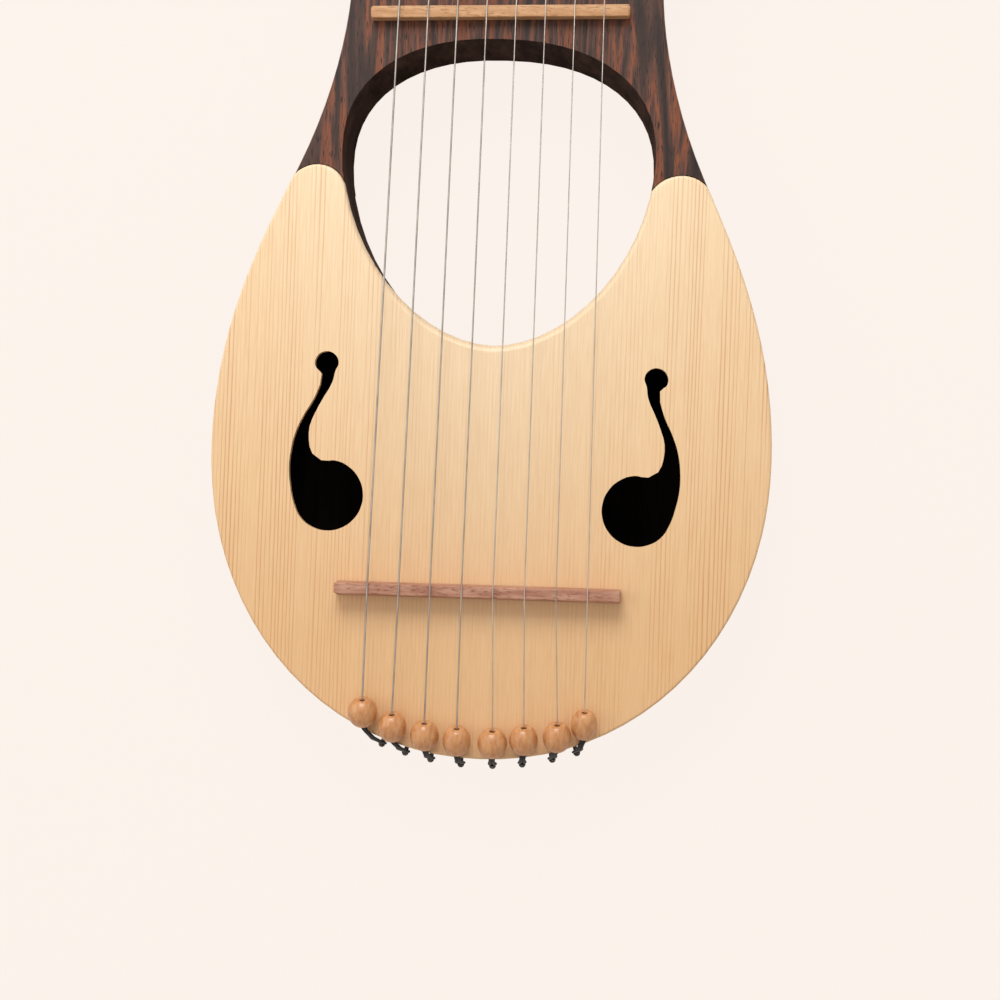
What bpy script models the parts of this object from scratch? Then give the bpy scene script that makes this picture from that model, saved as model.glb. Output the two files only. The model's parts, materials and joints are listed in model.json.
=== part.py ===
# Eight-string lyre harp, lying on its back with its face up.
# x runs across the face, y from the tail towards the head, z out of the face, all in metres.
# The origin is the middle of the instrument's box, on the plane that its flat back rests on.
# In the driving dimensions, y is measured from the tail end of the bowl.

import math

import bmesh
import bpy
import numpy as np
from mathutils import Matrix, Vector

FIT_GAP = 0.0003  # left between a piece and the one that it seats on
CUT_REACH = 0.003  # how far a cutter passes the surface that it cuts
ROUND_MIDDLE = 1 - math.sqrt(0.5)  # depth of a quarter round's middle under its corner, share of its radius

# Outline of the body: a round bowl, flanks that draw in to the waist, and a flared head with two horns
BOWL_WIDTH = 0.2402
BOWL_HEIGHT = 0.1304  # from the tail to the widest line
BOWL_FULLNESS = 2.06  # exponent of the bowl's curve, where 2 is an ellipse
WAIST_WIDTH = 0.1334
WAIST_Y = 0.334
FLANK_SHAPE = (  # way from the widest line to the waist, share of the narrowing still left
    (0.12, 0.974), (0.25, 0.886), (0.38, 0.735), (0.51, 0.530),
    (0.64, 0.306), (0.77, 0.137), (0.89, 0.038),
)
HORN_TIP_X = 0.0860
HORN_TOP_Y = 0.4020
HORN_ROUND = 0.0060
HORN_ANGLES = (-28, 30, 80, 118)  # degrees round the horn's tip
NECK_BEND = (0.22, 0.48)  # share of the way from the waist out to the horn, and up to it
CREST_Y = 0.3865  # top of the head between the horns
CREST_SHAPE = ((0.74, 0.50), (0.42, 0.10))  # share of the way out to the horn, share of its rise
OUTLINE_STEP = 0.0085

# Hand hole: two half ovals that share their widest line
HAND_HOLE_X = -0.0011
HAND_HOLE_WIDTH = 0.1341
HAND_HOLE_Y = 0.2584  # height of its widest line
HAND_HOLE_BELOW = 0.0811
HAND_HOLE_ABOVE = 0.0497
HAND_HOLE_POINTED = 1.85  # exponent of the lower half
HAND_HOLE_FULL = 2.30  # exponent of the upper half
HAND_HOLE_POINTS = 56

# Rosewood frame
FRAME_DEPTH = 0.044
FRAME_FRONT_ROUND = 0.0015
FRAME_BACK_ROUND = 0.0030
HAND_HOLE_FRONT_ROUND = 0.0008
HAND_HOLE_BACK_ROUND = 0.0020
RIM_WALL = 0.0070
CHAMBER_TOP_Y = 0.2340
CHAMBER_SHOULDER = 0.0080  # height of the chamber's rounded ends

# Soundboard and back plate, both horseshoes let into the frame
BOARD_THICKNESS = 0.0040
BOARD_PROUD = 0.0010  # how far the board stands above the face of the head
BOARD_RIM_ROUND = 0.0012
BOARD_HOLE_ROUND = 0.0034
BACK_THICKNESS = 0.0040
BACK_ROUND = 0.0025
TIP_X = 0.0782  # highest point of each arched tip
TIP_TOP_Y = 0.2525
TIP_OUTER_Y = 0.2474
TIP_INNER_Y = {-1: 0.2420, 1: 0.2452}  # the left and the right tip were cut by hand
TIP_CLEAR = 0.0010  # how far below a tip's inner end the hand hole's own points stop
HOLE_ROUND_FADE = 0.7  # exponent with which the rounding at the hand hole dies away towards the tips

# Note-shaped sound holes: a large round, a small round and a curved stem on the outer side
NOTE_LENGTH = 0.0566  # from centre to centre of the two rounds
NOTE_BIG_RADIUS = 0.0152
NOTE_SMALL_RADIUS = 0.0051
NOTE_PLACES = {-1: (-0.0692, 0.1107, 2.4), 1: (0.0636, 0.1085, 6.2)}  # x, y, outward lean in degrees
NOTE_INNER_EDGE = (
    (-0.0064, 0.0178), (-0.0079, 0.0238), (-0.0075, 0.0297), (-0.0051, 0.0354),
    (-0.0010, 0.0427), (0.0024, 0.0486),
)
NOTE_OUTER_EDGE = (
    (-0.0030, 0.0476), (-0.0059, 0.0411), (-0.0100, 0.0346), (-0.0136, 0.0272),
    (-0.0158, 0.0190), (-0.0166, 0.0110), (-0.0160, 0.0035), (-0.0146, -0.0035),
)
NOTE_STEP = 0.0034

# Wood under the board and behind the tail
BRACE_WIDTH = 0.0070
BRACE_HEIGHT = 0.0080
BRACE_SCALLOP = 0.0160  # length over which each end thins out
BRACE_END_HEIGHT = 0.0030
BRACES = {"brace_upper": (0.0980, 0.1520), "brace_lower": (0.1660, 0.0560)}  # length, y
TAIL_BLOCK_WIDTH = 0.1000
TAIL_BLOCK_TOP_Y = 0.0270
TAIL_BLOCK_CORNER = 0.0020  # the rim's own points stop this far from the block's corners

# Nut and bridge: bars that lie across the face, a little off square
NUT_CENTRE = (-0.0024, 0.3191)
NUT_LENGTH = 0.1104
NUT_WIDTH = 0.0052
NUT_HEIGHT = 0.0060
NUT_SLANT = 2.1
BRIDGE_CENTRE = (-0.0030, 0.0716)
BRIDGE_LENGTH = 0.1218
BRIDGE_WIDTH = 0.0061
BRIDGE_TOP_WIDTH = 0.0047
BRIDGE_HEIGHT = 0.0105
BRIDGE_SLANT = 0.3
BAR_ROUND = 0.0007

# Strings, from the thickest on the left to the thinnest on the right
STRING_DIAMETERS = (0.00080, 0.00075, 0.00070, 0.00065, 0.00055, 0.00050, 0.00045, 0.00045)
STRINGS_AT_NUT_X = -0.0019  # middle of the band of strings
STRINGS_AT_NUT_PITCH = 0.01247
STRINGS_AT_BRIDGE_X = -0.0029
STRINGS_AT_BRIDGE_PITCH = 0.01334
STRING_SIDES = 6

# Tuning pins, in an arc across the head
PIN_RADIUS = 0.00245
PIN_IN_WOOD = 0.0200
PIN_ABOVE = 0.0210
PIN_SQUARE = 0.0038  # across the flats of the square head
PIN_SQUARE_FROM = 0.0125  # height above the face where the square begins
PIN_SHOULDER = 0.0020  # height over which the round turns into the square
PIN_POINT = (0.0010, 0.75)  # length of the narrower end in the wood, and its share of the pin's size
PIN_TOP = ((0.0008, 0.90), (0.0, 0.66))  # depth below the top, and share of the pin's size
PIN_ARC_Y = 0.3500
PIN_ARC_RISE = 0.0100  # how much higher the outer pins stand than the middle ones
PIN_SIDES = 12
PIN_BORE_RADIUS = 0.00075  # cross hole for the string
PIN_BORE_Z = 0.0086
STRING_ON_PIN_Z = 0.0018  # height above the face where a string meets its pin
STRING_WRAP = 200.0  # degrees that a string runs round its pin below the winding
STRING_WRAP_STEPS = 8
WINDING_TURNS = 2.5
WINDING_PITCH = 0.00130
WINDING_POINTS = 14  # points in each turn
WINDING_CLIMB_TURN = 0.5  # last part of a turn, in which the wire rises to the cross hole
WINDING_BEND_TURN = 0.11  # part of a turn over which it bends into the hole
WINDING_BEND_OUT = 0.0007  # how far the bend's corner lies outside the turns
WINDING_BEND_IN = 0.0004  # how far the bend ends inside them
WINDING_BEND_STEPS = 4
WIRE_END = 0.0010  # how far the wire's end shows past the far side of its pin

# Beads, one for each string, from the left: x, height above the edge of the bowl, diameter
BEADS = (
    (-0.0501, 0.0078, 0.0126), (-0.0373, 0.0072, 0.0122), (-0.0234, 0.0076, 0.0123),
    (-0.0096, 0.0078, 0.0119), (0.0056, 0.0075, 0.0126), (0.0188, 0.0082, 0.0122),
    (0.0330, 0.0067, 0.0122), (0.0443, 0.0086, 0.0112),
)
BEAD_LENGTH = 0.0118
BEAD_END_RADIUS = 0.0032
BEAD_TILT = 24.0  # degrees that the upper end is lifted off the board
BEAD_BORE_RADIUS = 0.0012
BEAD_POCKET_RADIUS = 0.0026
BEAD_SHOULDER = 0.0012  # above the bead's middle, where the pocket ends in the bore
BALL_RADIUS = 0.0019
BALL_LENGTH = 0.0030
BALL_EDGE = 0.0004
STRING_INTO_BEAD = (0.0008, -0.0010)  # a string lies on its bead's axis between these distances from its end

# Hitch screws in the tail, and the cord loops that tie the beads to them
HITCH_X = (-0.0420, -0.0320, -0.0212, -0.0085, 0.0049, 0.0174, 0.0298, 0.0400)
HITCH_BELOW_BOARD = 0.0140
SCREW_RADIUS = 0.0009
SCREW_IN_WOOD = 0.0105
SCREW_NECK = 0.0038  # bare shank between the side and the head
SCREW_HEAD_RADIUS = 0.0018
SCREW_HEAD_HEIGHT = 0.0016
SCREW_DOME = ((1.0, 0.0), (0.86, 0.55), (0.40, 1.0))  # share of the head's radius, and of its height
SCREW_POINT = (0.0020, 0.30)  # length of the point, and share of the radius at its end
SIDE_STEP = 0.0020  # half the stretch of side that a screw stands square to
CORD_RADIUS = 0.0005
CORD_STRAND_OFFSET = 0.0008  # from the middle of the doubled cord to each strand
CORD_ON_SCREW = 0.0028  # distance of the loop from the side
CORD_AT_MOUTH = 0.0004  # how far outside the bead the cord begins to bend
CORD_OVER_RISE = 0.6  # height of its middle over the board's edge, share of its clearance
CORD_OVER_OUT = 1.15  # how far outside the edge it passes, share of its clearance
CORD_NECK = (0.35, 0.0003)  # share of the way from the edge to the screw, and bulge outwards there
CORD_LIFT = 0.4  # rise of the strands beside the screw, share of the loop's radius
CORD_LOOP_ANGLES = (36, 72, 108, 144)  # degrees round the underside of the screw
CORD_STEP = 0.0026

HALF_LENGTH_Y = (HORN_TOP_Y - SCREW_NECK - SCREW_HEAD_HEIGHT) / 2  # middle of the box, above the tail end
BOARD_TOP = FRAME_DEPTH + BOARD_PROUD
BOARD_BOTTOM = BOARD_TOP - BOARD_THICKNESS
REBATE_FLOOR = BOARD_BOTTOM - FIT_GAP
BACK_REBATE = BACK_THICKNESS + FIT_GAP
STRING_COUNT = len(STRING_DIAMETERS)


# Curves

def smooth(stations, step, closed=True):
    # Points about one step apart on the cubic spline through the stations
    knots = np.array(stations, dtype=float)
    count = len(knots)
    spans = count if closed else count - 1
    following = np.roll(knots, -1, axis=0)
    chords = np.linalg.norm(following - knots, axis=1)
    system = np.zeros((count, count))
    right = np.zeros(knots.shape)
    for i in range(count):
        if closed or 0 < i < count - 1:
            before, after = chords[i - 1], chords[i]
            system[i, i - 1] += after
            system[i, i] += 2 * (before + after)
            system[i, (i + 1) % count] += before
            right[i] = 3 * after * (knots[i] - knots[i - 1]) / before
            right[i] += 3 * before * (following[i] - knots[i]) / after
        else:
            inner = 1 if i == 0 else count - 2
            system[i, i], system[i, inner] = 2, 1
            right[i] = 3 * (knots[max(i, inner)] - knots[min(i, inner)]) / chords[min(i, inner)]
    slopes = np.linalg.solve(system, right)
    points = []
    for i in range(spans):
        chord, end = chords[i], (i + 1) % count
        pieces = max(1, round(chord / step))
        for k in range(pieces):
            t = k / pieces
            points.append(
                (1 + 2 * t) * (1 - t) ** 2 * knots[i] + t * (1 - t) ** 2 * chord * slopes[i]
                + t * t * (3 - 2 * t) * knots[end] - t * t * (1 - t) * chord * slopes[end]
            )
    if not closed:
        points.append(knots[-1])
    return [tuple(float(c) for c in p) for p in points]


def oval_point(angle, across, along, exponent):
    # Point of a full or pointed oval round the origin
    c, s = math.cos(angle), math.sin(angle)
    power = 2 / exponent
    return (math.copysign(across * abs(c) ** power, c), math.copysign(along * abs(s) ** power, s))


def moved_in(points, distance):
    # A closed line that runs anticlockwise, moved to its inner side by one distance or one for each point
    count = len(points)
    distances = distance if hasattr(distance, "__len__") else [distance] * count
    result = []
    for i, (x, y) in enumerate(points):
        normals = []
        for a, b in ((points[i - 1], points[i]), (points[i], points[(i + 1) % count])):
            side = Vector((a[1] - b[1], b[0] - a[0])).normalized()
            normals.append(side)
        bisector = (normals[0] + normals[1]).normalized()
        reach = distances[i] / max(0.5, bisector.dot(normals[0]))
        result.append((x + bisector.x * reach, y + bisector.y * reach))
    return result


def at_height(points, y, side):
    # Where a closed line crosses a height on one side: the point before the crossing, and the crossing
    for i, a in enumerate(points):
        b = points[(i + 1) % len(points)]
        if min(a[1], b[1]) <= y < max(a[1], b[1]) and (a[0] + b[0]) * side > 0:
            share = (y - a[1]) / (b[1] - a[1])
            return i, (a[0] + share * (b[0] - a[0]), y)
    raise ValueError("the line does not reach that height")


def arc_down(top, end, count):
    # The arc that is level at its top and runs down to its end, without the top itself
    across, drop = end[0] - top[0], top[1] - end[1]
    radius = (across ** 2 + drop ** 2) / (2 * drop)
    sweep = math.atan2(abs(across), radius - drop)
    points = []
    for k in range(1, count + 1):
        angle = sweep * k / count
        out = math.copysign(radius * math.sin(angle), across)
        points.append((top[0] + out, top[1] - radius * (1 - math.cos(angle))))
    return points


def body_outline():
    # Starts at the tail and runs anticlockwise
    half, narrowing = BOWL_WIDTH / 2, (BOWL_WIDTH - WAIST_WIDTH) / 2
    right = []
    for k in range(1, 8):
        x, y = oval_point(math.radians(-90 + 90 * k / 7), half, BOWL_HEIGHT, BOWL_FULLNESS)
        right.append((x, BOWL_HEIGHT + y))
    for way, left in FLANK_SHAPE:
        right.append((WAIST_WIDTH / 2 + narrowing * left, BOWL_HEIGHT + way * (WAIST_Y - BOWL_HEIGHT)))
    right.append((WAIST_WIDTH / 2, WAIST_Y))
    horn_x, horn_y = HORN_TIP_X - HORN_ROUND, HORN_TOP_Y - HORN_ROUND
    out, up = NECK_BEND
    right.append((WAIST_WIDTH / 2 + out * (HORN_TIP_X - WAIST_WIDTH / 2), WAIST_Y + up * (horn_y - WAIST_Y)))
    for angle in HORN_ANGLES:
        turn = math.radians(angle)
        right.append((horn_x + HORN_ROUND * math.cos(turn), horn_y + HORN_ROUND * math.sin(turn)))
    for out, rise in CREST_SHAPE:
        right.append((HORN_TIP_X * out, CREST_Y + (HORN_TOP_Y - CREST_Y) * rise))
    left = [(-x, y) for x, y in reversed(right)]
    return smooth([(0, 0)] + right + [(0, CREST_Y)] + left, OUTLINE_STEP)


def hand_hole():
    # Starts at the right and runs anticlockwise
    points = []
    for k in range(HAND_HOLE_POINTS):
        angle = 2 * math.pi * k / HAND_HOLE_POINTS
        upper = k <= HAND_HOLE_POINTS // 2
        along = HAND_HOLE_ABOVE if upper else HAND_HOLE_BELOW
        x, y = oval_point(angle, HAND_HOLE_WIDTH / 2, along, HAND_HOLE_FULL if upper else HAND_HOLE_POINTED)
        points.append((HAND_HOLE_X + x, HAND_HOLE_Y + y))
    return points


def horseshoe(outer, hole, top, outer_y, inner_y):
    # The bowl's horseshoe between an outer line and the hand hole, with an arched tip at each end.
    # Each point comes with the edge that it lies on: rim, tip or hole.
    tips = {}
    for side in (-1, 1):
        peak = (side * top[0], top[1])
        rim_index, rim_point = at_height(outer, outer_y, side)
        _, hole_point = at_height(hole, inner_y[side], side)
        arch = list(reversed(arc_down(peak, rim_point, 5))) + [peak] + arc_down(peak, hole_point, 6)
        tips[side] = (rim_index, arch if side == 1 else list(reversed(arch)))
    plan = [(p, "rim") for p in outer[: tips[1][0] + 1]]
    plan += [(p, "tip") for p in tips[1][1]]
    for x, y in reversed(hole):
        side = 1 if x > HAND_HOLE_X else -1
        if y < inner_y[side] - TIP_CLEAR:
            plan.append(((x, y), "hole"))
    plan += [(p, "tip") for p in tips[-1][1]]
    plan += [(p, "rim") for p in outer[tips[-1][0] + 1:]]
    return [p for p, _ in plan], [edge for _, edge in plan]


def note_outline(side):
    # One sound hole on the board, anticlockwise
    stations = []
    for angle in range(-140, 105, 24):
        turn = math.radians(angle)
        stations.append((NOTE_BIG_RADIUS * math.cos(turn), NOTE_BIG_RADIUS * math.sin(turn)))
    stations += NOTE_INNER_EDGE
    for angle in range(-45, 246, 48):
        turn = math.radians(angle)
        stations.append((NOTE_SMALL_RADIUS * math.cos(turn), NOTE_LENGTH + NOTE_SMALL_RADIUS * math.sin(turn)))
    stations += NOTE_OUTER_EDGE
    x, y, lean = NOTE_PLACES[side]
    turn = math.radians(lean)
    points = []
    for across, up in smooth(stations, NOTE_STEP):
        out = -across * math.cos(turn) + up * math.sin(turn)
        points.append((x + side * out, y + up * math.cos(turn) + across * math.sin(turn)))
    return points if side == -1 else list(reversed(points))


# Meshes

def materials():
    looks = {
        "rosewood": ((0.085, 0.038, 0.028), 0.45, 0.0),
        "spruce": ((0.830, 0.610, 0.370), 0.50, 0.0),
        "spruce_bar": ((0.740, 0.540, 0.330), 0.70, 0.0),
        "beech": ((0.640, 0.390, 0.180), 0.45, 0.0),
        "bridge_wood": ((0.420, 0.210, 0.140), 0.50, 0.0),
        "bead_wood": ((0.640, 0.340, 0.150), 0.35, 0.0),
        "pin_steel": ((0.500, 0.500, 0.510), 0.30, 1.0),
        "string_steel": ((0.600, 0.590, 0.560), 0.30, 1.0),
        "screw_steel": ((0.090, 0.090, 0.090), 0.40, 1.0),
        "black_cord": ((0.012, 0.012, 0.014), 0.70, 0.0),
    }
    made = {}
    for name, (colour, roughness, metallic) in looks.items():
        material = bpy.data.materials.new(name)
        material.use_nodes = True
        shader = material.node_tree.nodes["Principled BSDF"]
        shader.inputs["Base Color"].default_value = (*colour, 1)
        shader.inputs["Roughness"].default_value = roughness
        shader.inputs["Metallic"].default_value = metallic
        made[name] = material
    return made


def add_object(name, data, material=None, place=None):
    thing = bpy.data.objects.new(name, data)
    bpy.context.scene.collection.objects.link(thing)
    if material:
        data.materials.append(material)
    thing.matrix_world = place or Matrix.Identity(4)
    return thing


def mesh_object(name, mesh_data, material=None, place=None, smooth_below=32):
    # mesh_data is a bmesh with one or more closed bodies
    bmesh.ops.recalc_face_normals(mesh_data, faces=mesh_data.faces)
    mesh = bpy.data.meshes.new(name)
    mesh_data.to_mesh(mesh)
    mesh_data.free()
    mesh.shade_smooth()
    mesh.set_sharp_from_angle(angle=math.radians(smooth_below))
    return add_object(name, mesh, material, place)


def at(x, y, z):
    # From the drawing, where y starts at the tail, to the part's own frame
    return Vector((x, y - HALF_LENGTH_Y, z))


def loft(rings, into=None, ring_closed=True):
    # A closed body through rings of equally many points, capped at both ends;
    # with ring_closed False the rings themselves form a closed chain, as in a turned piece with a bore
    bm = into or bmesh.new()
    rows = [[bm.verts.new(p) for p in ring] for ring in rings]
    count = len(rings[0])
    spans = zip(rows, rows[1:]) if ring_closed else zip(rows, rows[1:] + rows[:1])
    for low, high in spans:
        for i in range(count):
            j = (i + 1) % count
            bm.faces.new((low[i], low[j], high[j], high[i]))
    if ring_closed:
        bm.faces.new(list(reversed(rows[0])))
        bm.faces.new(rows[-1])
    return bm


def slab(plan, low, high, low_round=0.0, high_round=0.0, steps=3):
    # A plate between two heights whose edges are rounded; a rounding is one value or one for each point
    count = len(plan)
    lows = low_round if hasattr(low_round, "__len__") else [low_round] * count
    highs = high_round if hasattr(high_round, "__len__") else [high_round] * count
    rings = []
    for rounds, level, up in ((lows, low, -1), (highs, high, 1)):
        turns = [0.0] if not any(rounds) else [math.pi / 2 * k / steps for k in range(steps + 1)]
        part = []
        for turn in turns:
            shifts = [r * (1 - math.cos(turn)) for r in rounds]
            line = moved_in(plan, shifts)
            part.append([at(x, y, level - up * r * (1 - math.sin(turn))) for (x, y), r in zip(line, rounds)])
        rings += part if up == 1 else list(reversed(part))
    return loft(rings)


def turned(profile, sides, into=None, place=None, bored=False):
    # A turned piece round its own z axis, from (radius, z) pairs
    rings = []
    for radius, z in profile:
        ring = []
        for k in range(sides):
            angle = 2 * math.pi * (k + 0.5) / sides
            point = Vector((radius * math.cos(angle), radius * math.sin(angle), z))
            ring.append(place @ point if place else point)
        rings.append(ring)
    return loft(rings, into, ring_closed=not bored)


def along(direction, origin):
    # The place of a turned piece whose axis points along the direction
    return Matrix.Translation(origin) @ Vector(direction).to_track_quat("Z", "Y").to_matrix().to_4x4()


def swept(points, radii, sides):
    # A round bar along the points, whose radius may change from point to point
    rings, across = [], None
    for i, point in enumerate(points):
        before, after = points[max(i - 1, 0)], points[min(i + 1, len(points) - 1)]
        ways = [(b - a).normalized() for a, b in ((before, point), (point, after)) if (b - a).length > 1e-9]
        way = (ways[0] + ways[-1]).normalized()
        across = across or Vector((0, 0, 1))
        across = (across - way * across.dot(way)).normalized()
        other = way.cross(across)
        ring = []
        for k in range(sides):
            angle = 2 * math.pi * k / sides
            ring.append(point + (across * math.cos(angle) + other * math.sin(angle)) * radii[i])
        rings.append(ring)
    return loft(rings)


def tube(name, points, radius, material, resolution):
    curve = bpy.data.curves.new(name, "CURVE")
    curve.dimensions = "3D"
    curve.bevel_depth = radius
    curve.bevel_resolution = resolution
    curve.use_fill_caps = True
    line = curve.splines.new("POLY")
    line.points.add(len(points) - 1)
    for spot, point in zip(line.points, points):
        spot.co = (*point, 1)
    return add_object(name, curve, material)


def cut(piece, name, cutter_mesh):
    cutter = cutter_mesh if isinstance(cutter_mesh, bpy.types.Object) else mesh_object(name, cutter_mesh)
    cutter.hide_render = True
    cutter.display_type = "WIRE"
    boolean = piece.modifiers.new(name, "BOOLEAN")
    boolean.operation = "DIFFERENCE"
    boolean.solver = "EXACT"
    boolean.object = cutter
    return cutter


def least_self_gap(points, diameter):
    # Nearest approach of a wire to itself, between places more than three diameters apart along it
    spots = np.array([tuple(p) for p in points])
    travel = np.concatenate(([0], np.cumsum(np.linalg.norm(np.diff(spots, axis=0), axis=1))))
    apart = np.linalg.norm(spots[:, None] - spots[None], axis=2)
    far = np.abs(travel[:, None] - travel[None]) > 3 * diameter
    return float(apart[far].min()) - diameter


# Wooden body

def frame_piece(outline, hole, plan, edges, wood):
    frame = mesh_object(
        "frame", slab(outline, 0, FRAME_DEPTH, FRAME_BACK_ROUND, FRAME_FRONT_ROUND, steps=2), wood["rosewood"]
    )
    rings = []
    for round_size, level, up in ((HAND_HOLE_BACK_ROUND, 0, -1), (HAND_HOLE_FRONT_ROUND, FRAME_DEPTH, 1)):
        part = [(0.0, level - up * round_size)]
        middle = round_size * ROUND_MIDDLE
        part.append((middle, level - up * middle))
        part.append((round_size, level + up * FIT_GAP))
        part.append((round_size, level + up * CUT_REACH))
        rings += part if up == 1 else reversed(part)
    cut(frame, "hand_hole_cutter", loft([
        [at(x, y, z) for x, y in moved_in(hole, -widen)] for widen, z in rings
    ]))
    for name, low, high in (
        ("board_rebate_cutter", REBATE_FLOOR, FRAME_DEPTH + CUT_REACH),
        ("back_rebate_cutter", -CUT_REACH, BACK_REBATE),
    ):
        cut(frame, name, slab(rebate_plan(outline, plan, edges), low, high))
    wall_outer, wall_inner = moved_in(outline, RIM_WALL), moved_in(hole, -RIM_WALL)
    shoulder_y = CHAMBER_TOP_Y - CHAMBER_SHOULDER
    chamber, _ = horseshoe(
        wall_outer, wall_inner, (TIP_X, CHAMBER_TOP_Y), shoulder_y, {-1: shoulder_y, 1: shoulder_y}
    )
    cut(frame, "chamber_cutter", slab(chamber, BACK_REBATE - CUT_REACH / 2, REBATE_FLOOR + CUT_REACH / 2))
    return frame


def rebate_plan(outline, plan, edges):
    # The board's plan with its clearance at the tips, carried past the rim and across the hand hole
    outer, clear = moved_in(outline, -CUT_REACH), moved_in(plan, -FIT_GAP)
    ends = []
    for side in (1, -1):
        line = [p for p, edge in zip(clear, edges) if edge == "tip" and p[0] * side > 0]
        for last, before in ((0, 1), (-1, -2)):
            run = (Vector(line[last]) - Vector(line[before])).normalized() * 2 * CUT_REACH
            point = (line[last][0] + run.x, line[last][1] + run.y)
            line = [point] + line if last == 0 else line + [point]
        ends.append(line)
    foot = ends[0][0][1] - CUT_REACH
    right = [p for p in outer if p[1] < foot and p[0] >= 0]
    left = [p for p in outer if p[1] < foot and p[0] < 0]
    return right + ends[0] + ends[1] + left


def plate_rounds(points, edges, rim_round, hole_round):
    # The rounding along the hand hole dies away from its lowest point towards the tips
    rise = TIP_OUTER_Y - (HAND_HOLE_Y - HAND_HOLE_BELOW)
    rounds = []
    for (_, y), edge in zip(points, edges):
        share = min(1.0, max(0.0, (TIP_OUTER_Y - y) / rise))
        extra = (hole_round - rim_round) * share ** HOLE_ROUND_FADE if edge == "hole" else 0
        rounds.append(rim_round + extra)
    return rounds


def plates(plan, edges, wood):
    rounds = plate_rounds(plan, edges, BOARD_RIM_ROUND, BOARD_HOLE_ROUND)
    board = mesh_object("soundboard", slab(plan, BOARD_BOTTOM, BOARD_TOP, 0, rounds), wood["spruce"])
    for side, name in ((-1, "left"), (1, "right")):
        hole_cutter = slab(note_outline(side), BOARD_BOTTOM - CUT_REACH, BOARD_TOP + CUT_REACH)
        cut(board, "sound_hole_" + name + "_cutter", hole_cutter)
    rounds = plate_rounds(plan, edges, BACK_ROUND, HAND_HOLE_BACK_ROUND)
    mesh_object("back_plate", slab(plan, 0, BACK_THICKNESS, rounds, 0, steps=2), wood["rosewood"])


def brace(name, length, y, wood):
    # A bar under the board, thinned out towards both ends
    top = BOARD_BOTTOM - FIT_GAP
    half, low, end = length / 2, top - BRACE_HEIGHT, top - BRACE_END_HEIGHT
    side_view = [(-half, end), (-half + BRACE_SCALLOP, low), (half - BRACE_SCALLOP, low)]
    side_view += [(half, end), (half, top), (-half, top)]
    rings = [[at(x, y + shift, z) for x, z in side_view] for shift in (-BRACE_WIDTH / 2, BRACE_WIDTH / 2)]
    mesh_object(name, loft(rings), wood["spruce_bar"])


def tail_block(outline, wood):
    # Fills the chamber's lowest part, where the hitch screws need wood
    wall = moved_in(outline, RIM_WALL + FIT_GAP)
    half = TAIL_BLOCK_WIDTH / 2
    lower = [p for p in wall if p[1] < BOWL_HEIGHT / 2]
    right = [p for p in lower if 0 <= p[0] < half - TAIL_BLOCK_CORNER]
    left = [p for p in lower if -half + TAIL_BLOCK_CORNER < p[0] < 0]
    corners = {}
    for side in (-1, 1):
        for a, b in zip(wall, wall[1:] + wall[:1]):
            if (a[0] - side * half) * (b[0] - side * half) <= 0 and max(a[1], b[1]) < BOWL_HEIGHT / 2:
                share = (side * half - a[0]) / (b[0] - a[0])
                corners[side] = (side * half, a[1] + share * (b[1] - a[1]))
    plan = right + [corners[1], (half, TAIL_BLOCK_TOP_Y), (-half, TAIL_BLOCK_TOP_Y), corners[-1]] + left
    return mesh_object("tail_block", slab(plan, BACK_REBATE, REBATE_FLOOR), wood["spruce_bar"])


def bar(name, centre, slant, length, profile, base, material):
    # A bar across the face whose section is the profile of (along y, up) pairs
    turn = math.radians(slant)
    rings = []
    for end, shrink in ((-1, BAR_ROUND), (-1, 0), (1, 0), (1, BAR_ROUND)):
        run = end * (length / 2 - (0 if shrink else BAR_ROUND))
        middle_y = sum(p[0] for p in profile) / len(profile)
        middle_z = sum(p[1] for p in profile) / len(profile)
        ring = []
        for across, up in profile:
            keep = 1 - shrink / max(abs(across - middle_y), abs(up - middle_z)) if shrink else 1
            across, up = middle_y + (across - middle_y) * keep, middle_z + (up - middle_z) * keep
            x = centre[0] + run * math.cos(turn) - across * math.sin(turn)
            y = centre[1] + run * math.sin(turn) + across * math.cos(turn)
            ring.append(at(x, y, base + up))
        rings.append(ring)
    mesh_object(name, loft(rings), material)


def bar_profile(width, top_width, height):
    half, top, r = width / 2, top_width / 2, BAR_ROUND
    middle = ROUND_MIDDLE * r
    right = [(half - r / 2, 0), (half, r / 2), (top, height - r)]
    right += [(top - middle, height - middle), (top - r, height)]
    return right + [(-across, up) for across, up in reversed(right)]


# Strings and what holds them

def on_slant(centre, slant, x):
    # Height of a bar's middle line at x
    return centre[1] + (x - centre[0]) * math.tan(math.radians(slant))


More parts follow.
